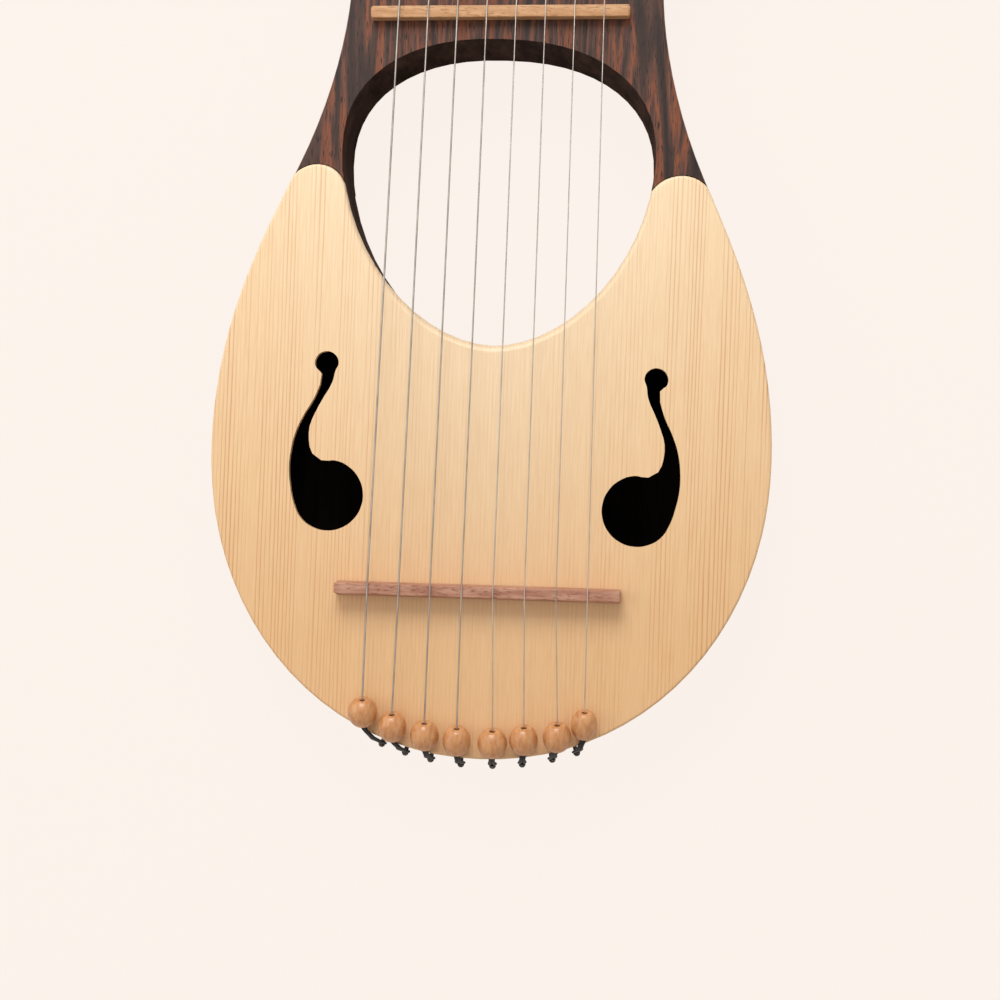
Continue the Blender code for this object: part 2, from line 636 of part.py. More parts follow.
def string_places():
    # For each string: where it crosses the nut and the bridge, its pin, bead, ball and screw
    places = []
    for i, diameter in enumerate(STRING_DIAMETERS):
        from_middle = i - (STRING_COUNT - 1) / 2
        nut_x = STRINGS_AT_NUT_X + from_middle * STRINGS_AT_NUT_PITCH
        nut_y = on_slant(NUT_CENTRE, NUT_SLANT, nut_x)
        bridge_x = STRINGS_AT_BRIDGE_X + from_middle * STRINGS_AT_BRIDGE_PITCH
        bridge_y = on_slant(BRIDGE_CENTRE, BRIDGE_SLANT, bridge_x)
        pin_y = PIN_ARC_Y + PIN_ARC_RISE * (2 * from_middle / (STRING_COUNT - 1)) ** 2
        string_x = nut_x + (nut_x - bridge_x) / (nut_y - bridge_y) * (pin_y - nut_y)
        wrap_radius = PIN_RADIUS + FIT_GAP + diameter / 2
        lift = FIT_GAP + diameter / 2
        places.append({
            "radius": diameter / 2,
            "nut": at(nut_x, nut_y, FRAME_DEPTH + FIT_GAP + NUT_HEIGHT + lift),
            "bridge": at(bridge_x, bridge_y, BOARD_TOP + FIT_GAP + BRIDGE_HEIGHT + lift),
            "pin": at(string_x + wrap_radius, pin_y, FRAME_DEPTH),
            "wrap_radius": wrap_radius,
        })
    return places


def round_pin(place, degrees, radius, z):
    # A point beside a pin, where 180 degrees is the side on which the string arrives
    turn = math.radians(degrees)
    return place["pin"] + Vector((radius * math.cos(turn), radius * math.sin(turn), z))


def tuning_pins(frame, places, metal):
    holes = bmesh.new()
    for i, place in enumerate(places, 1):
        low, clear = -PIN_IN_WOOD - 2 * FIT_GAP, PIN_RADIUS + FIT_GAP
        turned([(clear, low), (clear, CUT_REACH)], PIN_SIDES, holes, Matrix.Translation(place["pin"]))
        rings = []
        point_length, point_size = PIN_POINT
        sections = [(-PIN_IN_WOOD, point_size, False), (-PIN_IN_WOOD + point_length, 1, False)]
        sections += [(PIN_SQUARE_FROM - PIN_SHOULDER, 1, False), (PIN_SQUARE_FROM, 1, True)]
        sections += [(PIN_ABOVE - depth, size, True) for depth, size in PIN_TOP]
        for z, size, square in sections:
            ring = []
            for k in range(PIN_SIDES):
                angle = 2 * math.pi * (k + 0.5) / PIN_SIDES
                c, s = math.cos(angle), math.sin(angle)
                reach = PIN_RADIUS * size
                if square:
                    reach = min(reach, PIN_SQUARE / 2 * size / max(abs(c), abs(s)))
                ring.append(Vector((reach * c, reach * s, z)))
            rings.append(ring)
        name = "tuning_pin_%d" % i
        pin = mesh_object(name, loft(rings), metal["pin_steel"], Matrix.Translation(place["pin"]), 25)
        bore_turn = math.radians(winding_end_degrees())
        bore_run = Vector((math.cos(bore_turn), math.sin(bore_turn), 0))
        centre = place["pin"] + Vector((0, 0, PIN_BORE_Z))
        reach = PIN_RADIUS + CUT_REACH / 2
        bore = turned([(PIN_BORE_RADIUS, -reach), (PIN_BORE_RADIUS, reach)], 8, None, along(bore_run, centre))
        cut(pin, name + "_bore_cutter", bore)
    cut(frame, "pin_hole_cutter", holes)


def winding_end_degrees():
    return 180 - STRING_WRAP - 360 * (WINDING_TURNS + WINDING_CLIMB_TURN)


def winding(name, place, metal):
    # Turns side by side up the pin, then a quicker rise and a bend into the cross hole
    radius, start = place["wrap_radius"], 180 - STRING_WRAP
    low = STRING_ON_PIN_Z + WINDING_PITCH
    high = low + WINDING_PITCH * WINDING_TURNS
    points = []
    total = WINDING_TURNS + WINDING_CLIMB_TURN
    count = round(total * WINDING_POINTS)
    bend_from = total - WINDING_BEND_TURN
    for k in range(count + 1):
        turn = total * k / count
        if turn > bend_from:
            break
        if turn <= WINDING_TURNS:
            z = low + WINDING_PITCH * turn
        else:
            share = (turn - WINDING_TURNS) / WINDING_CLIMB_TURN
            z = high + (PIN_BORE_Z - high) * (share + share ** 2 * (1 - share))
        points.append(round_pin(place, start - 360 * turn, radius, min(z, PIN_BORE_Z)))
    end = winding_end_degrees()
    first = points[-1]
    corner = round_pin(place, end, radius + WINDING_BEND_OUT, PIN_BORE_Z)
    last = round_pin(place, end, radius - WINDING_BEND_IN, PIN_BORE_Z)
    for k in range(1, WINDING_BEND_STEPS + 1):
        t = k / WINDING_BEND_STEPS
        points.append(first * (1 - t) ** 2 + corner * 2 * t * (1 - t) + last * t * t)
    points.append(round_pin(place, end, -PIN_RADIUS - WIRE_END, PIN_BORE_Z))
    tube(name, points, place["radius"], metal["string_steel"], 1)
    return least_self_gap(points, 2 * place["radius"])


def bead_places(outline):
    # The middle and the axis of each bead, which points up the string
    tilt = math.radians(BEAD_TILT)
    spots = []
    for x, inside, diameter in BEADS:
        edge = edge_point(outline, x)
        centre = at(x, edge[1] + inside, BOARD_TOP + FIT_GAP + diameter / 2)
        spots.append((centre, Vector((0, math.cos(tilt), math.sin(tilt))), diameter))
    return spots


def edge_point(outline, x):
    # The lowest point of the bowl's edge at x
    for a, b in zip(outline, outline[1:] + outline[:1]):
        if min(a[0], b[0]) <= x <= max(a[0], b[0]) and max(a[1], b[1]) < BOWL_HEIGHT / 2 and a[0] != b[0]:
            share = (x - a[0]) / (b[0] - a[0])
            return Vector((x, a[1] + share * (b[1] - a[1])))
    raise ValueError("no edge of the bowl at that x")


def bead_profile(diameter):
    half, radius = BEAD_LENGTH / 2, diameter / 2
    stretch = half / math.sqrt(1 - (BEAD_END_RADIUS / radius) ** 2)
    profile = [(BEAD_POCKET_RADIUS, BEAD_SHOULDER), (BEAD_POCKET_RADIUS, -half)]
    for k in range(7):
        z = -half + BEAD_LENGTH * (1 - math.cos(math.pi * k / 6)) / 2
        profile.append((radius * math.sqrt(1 - (z / stretch) ** 2), z))
    return profile + [(BEAD_BORE_RADIUS, half), (BEAD_BORE_RADIUS, BEAD_SHOULDER)]


def bead(name, spot, wood):
    centre, axis, diameter = spot
    turned_bead = turned(bead_profile(diameter), 14, bored=True)
    mesh_object(name, turned_bead, wood["bead_wood"], along(axis, centre))


def string(name, place, spot, metal):
    # From the pin over the nut and the bridge into its bead, where its ball end sits on the shoulder
    centre, axis, _ = spot
    points = []
    for k in range(STRING_WRAP_STEPS + 1):
        degrees = 180 - STRING_WRAP * (1 - k / STRING_WRAP_STEPS)
        points.append(round_pin(place, degrees, place["wrap_radius"], STRING_ON_PIN_Z))
    points += [place["nut"], place["bridge"]]
    half, top = BEAD_LENGTH / 2, BEAD_SHOULDER - FIT_GAP
    points += [centre + axis * (half + up) for up in STRING_INTO_BEAD] + [centre + axis * top]
    radii = [place["radius"]] * len(points)
    for up, radius in (
        (0, BALL_RADIUS - BALL_EDGE), (BALL_EDGE, BALL_RADIUS),
        (BALL_LENGTH - BALL_EDGE, BALL_RADIUS), (BALL_LENGTH, BALL_RADIUS - BALL_EDGE),
    ):
        points.append(centre + axis * (top - up))
        radii.append(radius)
    mesh_object(name, swept(points, radii, STRING_SIDES), metal["string_steel"])


def hitch_places(outline):
    # The foot of each screw on the side of the bowl, and the way that it points out
    spots = []
    for x in HITCH_X:
        foot = edge_point(outline, x)
        near = edge_point(outline, x + SIDE_STEP) - edge_point(outline, x - SIDE_STEP)
        out = Vector((near.y, -near.x, 0)).normalized()
        spots.append((at(foot.x, foot.y, BOARD_TOP - HITCH_BELOW_BOARD), out))
    return spots


def hitch_screws(frame, block, spots, metal):
    holes = bmesh.new()
    point_length, point_size = SCREW_POINT
    profile = [(SCREW_RADIUS * point_size, -SCREW_IN_WOOD), (SCREW_RADIUS, -SCREW_IN_WOOD + point_length)]
    profile.append((SCREW_RADIUS, SCREW_NECK))
    profile += [(SCREW_HEAD_RADIUS * out, SCREW_NECK + SCREW_HEAD_HEIGHT * up) for out, up in SCREW_DOME]
    clear = SCREW_RADIUS + FIT_GAP
    for i, (foot, out) in enumerate(spots, 1):
        place = along(out, foot)
        mesh_object("hitch_screw_%d" % i, turned(profile, 8), metal["screw_steel"], place)
        turned([(clear, -SCREW_IN_WOOD - 2 * FIT_GAP), (clear, CUT_REACH)], 8, holes, place)
    cutter = cut(frame, "screw_hole_cutter", holes)
    cut(block, "screw_hole_cutter", cutter)


def tail_cord(name, spot, hitch, cord):
    # One doubled loop: out of the bead, over the edge of the board, round the screw and back
    centre, axis, _ = spot
    foot, out = hitch
    tangent = Vector((-out.y, out.x, 0))
    clear = CORD_RADIUS + FIT_GAP
    inside = centre + axis * (BEAD_SHOULDER - 2 * FIT_GAP - BALL_LENGTH)
    mouth = centre - axis * (BEAD_LENGTH / 2 + CORD_AT_MOUTH)
    loop = foot + out * CORD_ON_SCREW
    over = foot.lerp(mouth, 0.5)
    over.z = BOARD_TOP + clear * CORD_OVER_RISE
    over += out * (clear * CORD_OVER_OUT - (over - foot).dot(out))
    share, bulge = CORD_NECK
    neck = over.lerp(loop, share) + out * bulge
    middle = [mouth, over, neck]
    turn_radius = SCREW_RADIUS + clear
    strands = []
    for side in (-1, 1):
        line = [inside + tangent * side * CORD_STRAND_OFFSET]
        line += [p + tangent * side * CORD_STRAND_OFFSET for p in middle]
        line.append(loop + tangent * side * turn_radius + Vector((0, 0, turn_radius * CORD_LIFT)))
        strands.append(line)
    bend = []
    for degrees in CORD_LOOP_ANGLES:
        turn = math.radians(degrees)
        drop = Vector((0, 0, math.sin(turn) * turn_radius))
        bend.append(loop - tangent * math.cos(turn) * turn_radius - drop)
    start = loop - tangent * turn_radius
    finish = loop + tangent * turn_radius
    route = strands[0] + [start] + bend + [finish] + list(reversed(strands[1]))
    line = smooth([tuple(p) for p in route], CORD_STEP, closed=False)
    tube(name, line, CORD_RADIUS, cord["black_cord"], 1)


def build():
    for thing in list(bpy.data.objects):
        bpy.data.objects.remove(thing, do_unlink=True)
    look = materials()
    outline, hole = body_outline(), hand_hole()
    plan, edges = horseshoe(outline, hole, (TIP_X, TIP_TOP_Y), TIP_OUTER_Y, TIP_INNER_Y)
    frame = frame_piece(outline, hole, plan, edges, look)
    plates(plan, edges, look)
    for name, (length, y) in BRACES.items():
        brace(name, length, y, look)
    block = tail_block(outline, look)
    profile = bar_profile(NUT_WIDTH, NUT_WIDTH, NUT_HEIGHT)
    bar("nut", NUT_CENTRE, NUT_SLANT, NUT_LENGTH, profile, FRAME_DEPTH + FIT_GAP, look["beech"])
    profile, base = bar_profile(BRIDGE_WIDTH, BRIDGE_TOP_WIDTH, BRIDGE_HEIGHT), BOARD_TOP + FIT_GAP
    bar("bridge", BRIDGE_CENTRE, BRIDGE_SLANT, BRIDGE_LENGTH, profile, base, look["bridge_wood"])
    places, spots, hitches = string_places(), bead_places(outline), hitch_places(outline)
    tuning_pins(frame, places, look)
    hitch_screws(frame, block, hitches, look)
    gaps = []
    for i, (place, spot, hitch) in enumerate(zip(places, spots, hitches), 1):
        gaps.append(winding("string_winding_%d" % i, place, look))
        string("string_%d" % i, place, spot, look)
        bead("bead_%d" % i, spot, look)
        tail_cord("tail_cord_%d" % i, spot, hitch, look)
    print("least gap of a winding to itself: %.2f mm" % (min(gaps) * 1000))


build()
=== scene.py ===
# Lyre harp, dressed for its picture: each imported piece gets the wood, wire or cord that it is made of.
# Metres, with x across the face, y towards the head and z out of the face.

import json
import math

import bmesh
import bpy
from mathutils import Matrix, Vector


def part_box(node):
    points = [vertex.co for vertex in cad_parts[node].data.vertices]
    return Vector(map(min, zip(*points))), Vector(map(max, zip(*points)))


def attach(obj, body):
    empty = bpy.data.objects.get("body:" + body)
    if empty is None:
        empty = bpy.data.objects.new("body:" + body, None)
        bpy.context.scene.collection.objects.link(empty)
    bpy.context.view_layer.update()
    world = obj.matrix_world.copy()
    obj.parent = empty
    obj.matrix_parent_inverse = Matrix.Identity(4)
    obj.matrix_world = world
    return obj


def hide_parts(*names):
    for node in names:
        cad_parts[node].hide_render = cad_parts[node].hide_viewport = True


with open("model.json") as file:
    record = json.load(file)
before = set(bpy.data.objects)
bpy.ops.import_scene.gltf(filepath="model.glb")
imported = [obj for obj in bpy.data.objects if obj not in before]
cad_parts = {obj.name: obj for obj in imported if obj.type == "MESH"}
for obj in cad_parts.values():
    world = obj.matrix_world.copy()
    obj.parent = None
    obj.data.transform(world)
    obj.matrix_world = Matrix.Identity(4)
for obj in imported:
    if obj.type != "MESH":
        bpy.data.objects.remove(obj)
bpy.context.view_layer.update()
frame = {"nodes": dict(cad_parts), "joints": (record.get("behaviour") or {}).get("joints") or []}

print("frame loaded")

stringCount = 8
fitGap = 0.0003  # left between pieces that touch
faceHeight = 0.044  # front of the rosewood head
steepest = 0.5  # a face whose normal leans out further than this counts as lying, not upright


# Camera, lamps and floor

view = {
    "place": (0.0529, -0.1041, 1.011),
    "tiltDegrees": 1.545,
    "rollDegrees": 2.09,
    "lensMm": 81.4,
    "shift": (-0.050, 0.0439),
    "lampsAimAt": (0, -0.05, 0.04),
}
camera = bpy.data.objects.new("camera", bpy.data.cameras.new("camera"))
bpy.context.scene.collection.objects.link(camera)
camera.location = view["place"]
camera.rotation_euler = (0, math.radians(view["tiltDegrees"]), math.radians(view["rollDegrees"]))
camera.data.lens = view["lensMm"]
camera.data.shift_x, camera.data.shift_y = view["shift"]
bpy.context.scene.camera = camera
bpy.context.scene.view_settings.view_transform = "Standard"

lamps = {  # place, size in metres, watts
    "windowAbove": ((-0.15, 0.85, 0.95), 0.7, 11.0),
    "fillLeft": ((-0.95, 0.10, 0.90), 0.9, 3.0),
}
for name, (place, size, watts) in lamps.items():
    lamp = bpy.data.objects.new(name, bpy.data.lights.new(name, "AREA"))
    bpy.context.scene.collection.objects.link(lamp)
    lamp.data.size, lamp.data.energy = size, watts
    lamp.location = place
    lamp.rotation_euler = (Vector(view["lampsAimAt"]) - Vector(place)).to_track_quat("-Z", "Y").to_euler()
print("camera and lamps placed")


# Nodes and colours

def linear(hexColour):
    # sRGB hex to linear
    parts = [int(hexColour[i:i + 2], 16) / 255 for i in (1, 3, 5)]
    return tuple(p / 12.92 if p <= 0.04045 else ((p + 0.055) / 1.055) ** 2.4 for p in parts)


def addNode(tree, kind, settings=None, links=None, stops=()):
    node = tree.nodes.new(kind)
    for key, value in (settings or {}).items():
        if isinstance(value, str) and value.startswith("#"):
            value = (*linear(value), 1)
        if isinstance(key, str) and hasattr(node, key):
            setattr(node, key, value)
        else:
            node.inputs[key].default_value = value
    for key, source in (links or {}).items():
        tree.links.new(source, node.inputs[key])
    for i, (spot, colour) in enumerate(stops):
        stop = node.color_ramp.elements[i] if i < 2 else node.color_ramp.elements.new(spot)
        stop.position, stop.color = spot, (*linear(colour), 1)
    return node


def newMaterial(name, surface):
    made = bpy.data.materials.new(name)
    made.use_nodes = True
    tree = made.node_tree
    shader = tree.nodes["Principled BSDF"]
    for socket, value in surface.items():
        shader.inputs[socket].default_value = value
    place = addNode(tree, "ShaderNodeTexCoord").outputs["Object"]
    return made, tree, shader, place


def bands(mm):
    # Scale at which the wave texture, which turns 20 radians a unit, repeats every so many millimetres
    return 2 * math.pi / 20 / (mm / 1000)


def grains(mm):
    # Scale at which a noise has features of so many millimetres
    return 1000 / mm


# Floor and surroundings

paper = {"colour": "#FCF3EC", "lightLevel": 0.50, "floorGlow": 0.965, "reach": 4.0, "below": 0.0005}
world = bpy.data.worlds.new("studio")
bpy.context.scene.world = world
world.use_nodes = True
air = world.node_tree
rays = addNode(air, "ShaderNodeLightPath").outputs
seen = rays["Is Camera Ray"]
for ray in ("Is Glossy Ray", "Is Transmission Ray"):
    seen = addNode(air, "ShaderNodeMath", {"operation": "MAXIMUM"}, {0: seen, 1: rays[ray]}).outputs[0]
level = addNode(air, "ShaderNodeMapRange", {"To Min": paper["lightLevel"], "To Max": 1.0}, {"Value": seen})
sky = air.nodes["Background"]
sky.inputs["Color"].default_value = (*linear(paper["colour"]), 1)
air.links.new(level.outputs[0], sky.inputs["Strength"])

floorMesh = bpy.data.meshes.new("floor")
corners = [(x * paper["reach"], y * paper["reach"], 0) for x, y in ((-1, -1), (1, -1), (1, 1), (-1, 1))]
floorMesh.from_pydata(corners, [], [(0, 1, 2, 3)])
floor = bpy.data.objects.new("floor", floorMesh)
bpy.context.scene.collection.objects.link(floor)
floor.location.z = -paper["below"]
paint, tree, shader, place = newMaterial("mattePaperSweep", {"Roughness": 0.9, "Specular IOR Level": 0.1})
shader.inputs["Base Color"].default_value = (*linear(paper["colour"]), 1)
rays = addNode(tree, "ShaderNodeLightPath").outputs
share = addNode(tree, "ShaderNodeMath", {
    "operation": "MULTIPLY", 1: paper["floorGlow"],
}, {0: rays["Is Camera Ray"]})
glow = addNode(tree, "ShaderNodeEmission", {"Color": paper["colour"], "Strength": 1.0})
blend = addNode(tree, "ShaderNodeMixShader", {}, {
    0: share.outputs[0], 1: shader.outputs[0], 2: glow.outputs[0],
})
tree.links.new(blend.outputs[0], tree.nodes["Material Output"].inputs["Surface"])
floorMesh.materials.append(paint)


# Woods

spruceLook = {
    "ringMm": 1.7, "fibreMm": 0.40, "patchMm": 6.0, "drawnOut": (1, 0.03, 0.3),
    "light": "#FCEBCC", "warm": "#F7DCB3", "tail": "#E8BC87", "lateWood": "#C27E40", "fibre": "#E3C6A0",
    "calmHalfWidth": 0.020, "strongHalfWidth": 0.112, "calmLines": 0.16, "strongLines": 0.85,
    "warmHalfWidth": 0.1, "tailFrom": 0.05, "tailTo": -0.15, "tailShare": 0.90, "fibreShare": 0.25,
    "lacquered": {"Roughness": 0.44, "Coat Weight": 0.18, "Coat Roughness": 0.32},
    "planed": {"Roughness": 0.75},
}


def spruceWood(name, look, lacquer):
    # Spruce, quarter sawn and sanded: pale, with straight thin late-wood lines that grow bolder to the edges.
    # The board's satin lacquer adds a soft sheen; the bars inside are left as planed.
    made, tree, shader, place = newMaterial(name, look["lacquered"] if lacquer else look["planed"])
    drawn = addNode(tree, "ShaderNodeMapping", {"Scale": look["drawnOut"]}, {"Vector": place}).outputs[0]
    ring = addNode(tree, "ShaderNodeTexWave", {
        "bands_direction": "X", "wave_profile": "SAW", "Scale": bands(look["ringMm"]),
        "Distortion": 7.0, "Detail": 3.0, "Detail Scale": 0.5,
    }, {"Vector": drawn}).outputs[1]
    line = addNode(tree, "ShaderNodeMapRange", {
        "From Min": 0.62, "From Max": 0.98,
    }, {"Value": ring}).outputs[0]
    axes = addNode(tree, "ShaderNodeSeparateXYZ", {}, {0: place}).outputs
    aside = addNode(tree, "ShaderNodeMath", {"operation": "ABSOLUTE"}, {0: axes["X"]}).outputs[0]
    bold = addNode(tree, "ShaderNodeMapRange", {
        "From Min": look["calmHalfWidth"], "From Max": look["strongHalfWidth"],
        "To Min": look["calmLines"], "To Max": look["strongLines"],
    }, {"Value": aside}).outputs[0]
    patch = addNode(tree, "ShaderNodeTexNoise", {
        "Scale": grains(look["patchMm"]), "Detail": 2.0,
    }, {"Vector": drawn})
    uneven = addNode(tree, "ShaderNodeMapRange", {
        "From Min": 0.40, "From Max": 0.62, "To Min": 0.10, "To Max": 1.0,
    }, {"Value": patch.outputs[0]}).outputs[0]
    mask = addNode(tree, "ShaderNodeMath", {"operation": "MULTIPLY"}, {0: line, 1: bold}).outputs[0]
    mask = addNode(tree, "ShaderNodeMath", {"operation": "MULTIPLY"}, {0: mask, 1: uneven}).outputs[0]
    outer = addNode(tree, "ShaderNodeMapRange", {
        "From Min": 0.0, "From Max": look["warmHalfWidth"],
    }, {"Value": aside}).outputs[0]
    tone = addNode(tree, "ShaderNodeMix", {
        "data_type": "RGBA", 6: look["light"], 7: look["warm"],
    }, {0: outer})
    low = addNode(tree, "ShaderNodeMapRange", {
        "From Min": look["tailFrom"], "From Max": look["tailTo"], "To Min": 0.0, "To Max": look["tailShare"],
    }, {"Value": axes["Y"]}).outputs[0]
    tone = addNode(tree, "ShaderNodeMix", {
        "data_type": "RGBA", 7: look["tail"],
    }, {0: low, 6: tone.outputs[2]})
    wood = addNode(tree, "ShaderNodeMix", {
        "data_type": "RGBA", 7: look["lateWood"],
    }, {0: mask, 6: tone.outputs[2]}).outputs[2]
    fibre = addNode(tree, "ShaderNodeTexNoise", {
        "Scale": grains(look["fibreMm"]), "Detail": 2.0,
    }, {"Vector": drawn})
    stops = ((0.3, look["fibre"]), (0.62, "#FFFFFF"))
    veil = addNode(tree, "ShaderNodeValToRGB", {}, {0: fibre.outputs[0]}, stops)
    wood = addNode(tree, "ShaderNodeMix", {
        "data_type": "RGBA", "blend_type": "MULTIPLY", 0: look["fibreShare"],
    }, {6: wood, 7: veil.outputs[0]}).outputs[2]
    tree.links.new(wood, shader.inputs["Base Color"])
    relief = addNode(tree, "ShaderNodeMath", {"operation": "ADD"}, {0: mask, 1: fibre.outputs[0]}).outputs[0]
    bump = addNode(tree, "ShaderNodeBump", {"Strength": 0.12, "Distance": 0.0001}, {"Height": relief})
    tree.links.new(bump.outputs[0], shader.inputs["Normal"])
    return made


rosewoodLook = {
    "ribbonMm": 11.0, "streakMm": 1.6, "poreMm": 0.45,
    "pore": "#140C09", "endGrainAndShade": "#59463E", "streakShare": 0.25,
    "ribbons": (
        (0.32, "#1E1410"), (0.42, "#3A2720"), (0.48, "#573A2F"),
        (0.54, "#854C31"), (0.59, "#5A3D33"), (0.69, "#2C1F1A"),
    ),
    "streaks": ((0.38, "#5A4640"), (0.5, "#D8C8C0"), (0.62, "#FFFFFF")),
    "oiled": {"Roughness": 0.46, "Specular IOR Level": 0.3},
    "ribbonDrawnOut": (1, 0.07, 0.25), "streakDrawnOut": (1, 0.025, 0.2), "poreDrawnOut": (1, 0.08, 0.5),
}


def rosewoodOiled():
    # Rosewood, shaped, sanded and oiled: dark purple-brown ribbons, rusty streaks and open pores,
    # with a low gloss
    look = rosewoodLook
    made, tree, shader, place = newMaterial("rosewoodShapedAndOiled", look["oiled"])
    flow = addNode(tree, "ShaderNodeMapping", {"Scale": look["ribbonDrawnOut"]}, {"Vector": place}).outputs[0]
    ribbon = addNode(tree, "ShaderNodeTexNoise", {
        "Scale": grains(look["ribbonMm"]), "Detail": 4.0, "Roughness": 0.58, "Distortion": 1.1,
    }, {"Vector": flow}).outputs[0]
    wood = addNode(tree, "ShaderNodeValToRGB", {}, {0: ribbon}, look["ribbons"]).outputs[0]
    thin = addNode(tree, "ShaderNodeMapping", {"Scale": look["streakDrawnOut"]}, {"Vector": place}).outputs[0]
    streak = addNode(tree, "ShaderNodeTexNoise", {
        "Scale": grains(look["streakMm"]), "Detail": 3.0,
    }, {"Vector": thin}).outputs[0]
    shade = addNode(tree, "ShaderNodeValToRGB", {}, {0: streak}, look["streaks"]).outputs[0]
    wood = addNode(tree, "ShaderNodeMix", {
        "data_type": "RGBA", "blend_type": "MULTIPLY", 0: look["streakShare"],
    }, {6: wood, 7: shade}).outputs[2]
    short = addNode(tree, "ShaderNodeMapping", {"Scale": look["poreDrawnOut"]}, {"Vector": place}).outputs[0]
    pore = addNode(tree, "ShaderNodeTexNoise", {
        "Scale": grains(look["poreMm"]), "Detail": 1.0,
    }, {"Vector": short}).outputs[0]
    opened = addNode(tree, "ShaderNodeMapRange", {
        "From Min": 0.60, "From Max": 0.68,
    }, {"Value": pore}).outputs[0]
    wood = addNode(tree, "ShaderNodeMix", {
        "data_type": "RGBA", 7: look["pore"],
    }, {0: opened, 6: wood}).outputs[2]
    # Faces looking along y are darkened: partly end grain, as in the upper wall of the hand hole, drinking
    # more oil, and partly painted shade on such walls
    normal = addNode(tree, "ShaderNodeTexCoord").outputs["Normal"]
    facing = addNode(tree, "ShaderNodeSeparateXYZ", {}, {0: normal}).outputs["Y"]
    grainEndAndShadeMask = addNode(tree, "ShaderNodeMath", {"operation": "ABSOLUTE"}, {0: facing}).outputs[0]
    grainEndAndShadeMask = addNode(tree, "ShaderNodeMapRange", {
        "From Min": 0.2, "From Max": 0.9,
    }, {"Value": grainEndAndShadeMask}).outputs[0]
    wood = addNode(tree, "ShaderNodeMix", {
        "data_type": "RGBA", "blend_type": "MULTIPLY", 7: look["endGrainAndShade"],
    }, {0: grainEndAndShadeMask, 6: wood}).outputs[2]
    tree.links.new(wood, shader.inputs["Base Color"])
    bump = addNode(tree, "ShaderNodeBump", {
        "Strength": 0.25, "Distance": 0.0001, "invert": True,
    }, {"Height": opened})
    tree.links.new(bump.outputs[0], shader.inputs["Normal"])
    return made


# Painted shade: near-black wood for the chamber's inside, the hand hole's walls and the beads' bores
insideLook = {"name": "rosewoodInsidePaintedShade", "ribbonMm": 2.0, "dark": "#0D0908", "light": "#1C1310"}
wallLook = {"name": "rosewoodHandHoleWallPaintedShade", "ribbonMm": 5.0, "dark": "#261812", "light": "#46322A"}
boreLook = {"name": "hardwoodBorePaintedShade", "ribbonMm": 0.6, "dark": "#190E08", "light": "#35200F"}
shadeWoodDrawnOut = (1, 0.07, 0.25)  # scale of the pattern across, along and through the grain


def paintedShadeWood(look):
    # Wood in a chamber, a bore or a cut-out: matt, and painted near-black as shade where shade falls,
    # so it gives back almost no light
    made, tree, shader, place = newMaterial(look["name"], {"Roughness": 0.95, "Specular IOR Level": 0.1})
    flow = addNode(tree, "ShaderNodeMapping", {"Scale": shadeWoodDrawnOut}, {"Vector": place}).outputs[0]
    ribbon = addNode(tree, "ShaderNodeTexNoise", {
        "Scale": grains(look["ribbonMm"]), "Detail": 3.0,
    }, {"Vector": flow}).outputs[0]
    stops = ((0.35, look["dark"]), (0.65, look["light"]))
    wood = addNode(tree, "ShaderNodeValToRGB", {}, {0: ribbon}, stops).outputs[0]
    tree.links.new(wood, shader.inputs["Base Color"])
    return made


beechLook = {
    "name": "beechSawnAndSanded", "cloudMm": 2.5, "fleckMm": 0.7, "drawnOut": 0.2,
    "light": "#CDA074", "dark": "#BB8A5C", "fleck": "#A06F44",
}
bridgeLook = {
    "name": "redBeechSandedBar", "cloudMm": 2.5, "fleckMm": 0.5, "drawnOut": 0.16,
    "light": "#C3937A", "dark": "#A8745D", "fleck": "#78442F",
}


def fleckedBar(look):
    # A square bar cut along the grain and sanded: short flecks run the bar's length, with hardly any gloss
    made, tree, shader, place = newMaterial(look["name"], {"Roughness": 0.55})
    drawn = addNode(tree, "ShaderNodeMapping", {
        "Scale": (look["drawnOut"], 1, 1),
    }, {"Vector": place}).outputs[0]
    broad = addNode(tree, "ShaderNodeTexNoise", {
        "Scale": grains(look["cloudMm"]), "Detail": 3.0,
    }, {"Vector": drawn}).outputs[0]
    stops = ((0.38, look["dark"]), (0.6, look["light"]))
    wood = addNode(tree, "ShaderNodeValToRGB", {}, {0: broad}, stops).outputs[0]
    fleck = addNode(tree, "ShaderNodeTexNoise", {
        "Scale": grains(look["fleckMm"]), "Detail": 2.0, "Distortion": 0.6,
    }, {"Vector": drawn})
    mask = addNode(tree, "ShaderNodeMapRange", {
        "From Min": 0.54, "From Max": 0.66, "To Max": 0.8,
    }, {"Value": fleck.outputs[0]}).outputs[0]
    wood = addNode(tree, "ShaderNodeMix", {
        "data_type": "RGBA", 7: look["fleck"],
    }, {0: mask, 6: wood}).outputs[2]
    tree.links.new(wood, shader.inputs["Base Color"])
    bump = addNode(tree, "ShaderNodeBump", {
        "Strength": 0.2, "Distance": 0.0001,
    }, {"Height": fleck.outputs[0]})
    tree.links.new(bump.outputs[0], shader.inputs["Normal"])
    return made


beadLook = {
    "figureMm": 1.5, "drawnOut": (1, 0.35, 0.35),
    "figure": ((0.33, "#BE8150"), (0.48, "#CB8F5B"), (0.64, "#D79E6A")),
    "polished": {"Roughness": 0.34, "Coat Weight": 0.2},
}


